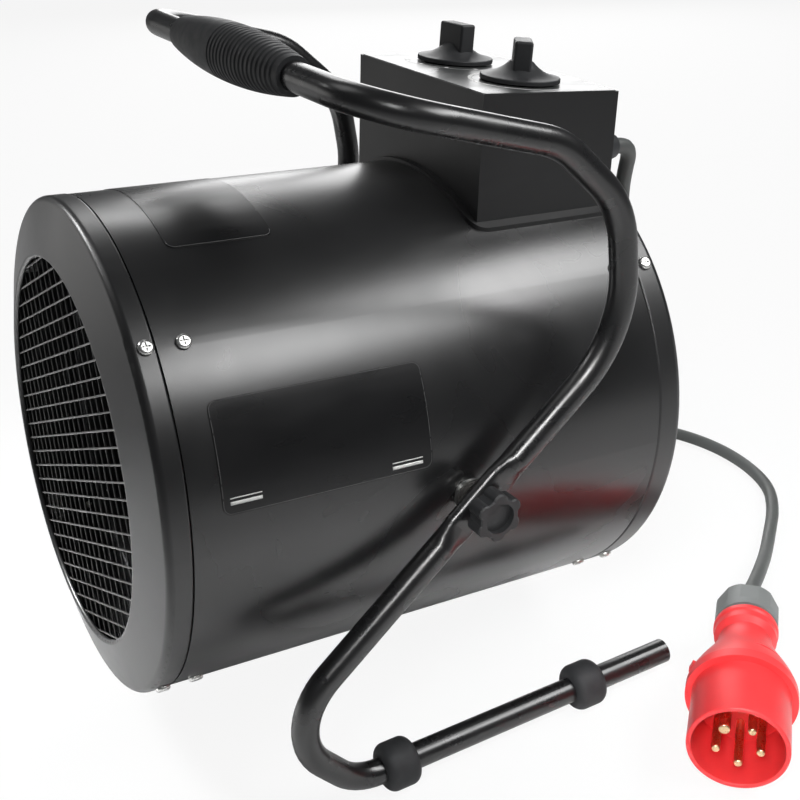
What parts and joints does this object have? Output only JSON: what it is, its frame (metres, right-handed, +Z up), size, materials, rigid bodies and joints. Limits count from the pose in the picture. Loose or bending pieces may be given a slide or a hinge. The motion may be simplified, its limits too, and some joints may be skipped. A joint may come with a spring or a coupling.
{
  "type": "forced air heater",
  "caption": "Drum-shaped electric fan heater that tilts in a bent tube stand with a carrying grip, a control box on top and a mains lead with a round industrial plug.",
  "frame": {"origin": "on the floor, midway across the stand and midway from the front to the back of the heater without its lead", "axes": "+Z up, +X to the heater's right seen from behind it, -Y the way the warm air leaves"},
  "size_m": [0.4744, 0.5874, 0.4285],
  "materials": {
    "casing_paint": "semi-gloss black powder coat",
    "box_paint": "satin black powder coat",
    "tube_paint": "gloss black paint",
    "mesh_wire": "black coated welded wire",
    "bright_zinc": "bright zinc plate",
    "friction_rubber": "black fibre",
    "duct_steel": "galvanised sheet",
    "element_sheath": "dull heat-resisting steel",
    "fan_metal": "pressed aluminium",
    "shaft_steel": "ground steel",
    "motor_can": "dark grey enamel",
    "dial_face": "satin grey plate",
    "black_plastic": "fine matt moulding",
    "grip_rubber": "ribbed soft black",
    "foot_rubber": "black rubber",
    "control_metal": "plated steel",
    "gland_plastic": "dark grey moulding",
    "seal_rubber": "black seal",
    "cord_sheath": "dark grey flexible sheath",
    "plug_red": "bright red moulding",
    "shroud_red": "red moulding, darker inside",
    "pin_brass": "turned brass",
    "label_film": "gloss black film"
  },
  "bodies": {
    "stand": {"stand_tube": "tube_paint", "handle_grip": "grip_rubber", "foot_front_right": "foot_rubber", "foot_front_left": "foot_rubber", "foot_rear_right": "foot_rubber", "foot_rear_left": "foot_rubber", "mains_cord": "cord_sheath", "plug_cap_nut": "gland_plastic", "plug_seal": "seal_rubber", "plug_body": "plug_red", "plug_shroud": "shroud_red", "plug_contact_pins": "pin_brass"},
    "heater": {"cable_gland": "gland_plastic", "casing_front_screws": "bright_zinc", "casing_rear_screws": "bright_zinc", "control_box": "box_paint", "dial_plate": "dial_face", "element_strap": "duct_steel", "fan_motor": "motor_can", "friction_washers": "friction_rubber", "front_ring": "casing_paint", "front_ring_screws": "bright_zinc", "gland_locknut": "gland_plastic", "heating_element_inner": "element_sheath", "heating_element_middle": "element_sheath", "heating_element_outer": "element_sheath", "inlet_mesh": "mesh_wire", "inlet_mesh_clips": "bright_zinc", "inner_duct": "duct_steel", "motor_bolts": "bright_zinc", "motor_bracket": "bright_zinc", "outer_casing": "casing_paint", "outlet_mesh": "mesh_wire", "outlet_mesh_clips": "bright_zinc", "pivot_bolts": "bright_zinc", "pivot_bush_left": "bright_zinc", "pivot_bush_right": "bright_zinc", "pivot_plate_left": "bright_zinc", "pivot_plate_right": "bright_zinc", "pivot_washers": "bright_zinc", "rear_ring": "casing_paint", "rear_ring_screws": "bright_zinc", "rotary_switch": "black_plastic", "side_label": "label_film", "spindle_nuts": "bright_zinc", "terminal_block": "black_plastic", "thermal_cutout": "control_metal", "thermostat": "control_metal", "thermostat_probe": "control_metal", "top_label": "label_film"},
    "fan": {"fan_wheel": "fan_metal", "motor_shaft": "shaft_steel"},
    "selector": {"selector_knob": "black_plastic", "selector_spindle": "shaft_steel"},
    "thermostat_dial": {"thermostat_knob": "black_plastic", "thermostat_spindle": "shaft_steel"},
    "clamp_knob_right": {"star_knob_right": "black_plastic"},
    "clamp_knob_left": {"star_knob_left": "black_plastic"}
  },
  "joints": [
    {"name": "tilt", "type": "hinge", "parent": "stand", "child": "heater", "pos_m": [0, 0.00948, 0.184], "axis": [1, 0, 0], "range_deg": [-8, 14], "deforming": ["mains_cord"]},
    {"name": "fan_spin", "type": "hinge", "parent": "heater", "child": "fan", "pos_m": [0, 0.00948, 0.184], "axis": [0, 0.9977, -0.068], "continuous": true},
    {"name": "selector_turn", "type": "hinge", "parent": "heater", "child": "selector", "pos_m": [-0.037, 0.1206, 0.38043], "axis": [0, -0.1132, -0.9936], "range_deg": [0, 135]},
    {"name": "thermostat_turn", "type": "hinge", "parent": "heater", "child": "thermostat_dial", "pos_m": [0.037, 0.1206, 0.38043], "axis": [0, -0.1132, -0.9936], "range_deg": [0, 270]},
    {"name": "clamp_turn_right", "type": "hinge", "parent": "heater", "child": "clamp_knob_right", "pos_m": [0, 0.00948, 0.184], "axis": [1, 0, 0], "range_deg": [0, 180]},
    {"name": "clamp_turn_left", "type": "hinge", "parent": "heater", "child": "clamp_knob_left", "pos_m": [0, 0.00948, 0.184], "axis": [-1, 0, 0], "range_deg": [0, 180]}
  ]
}
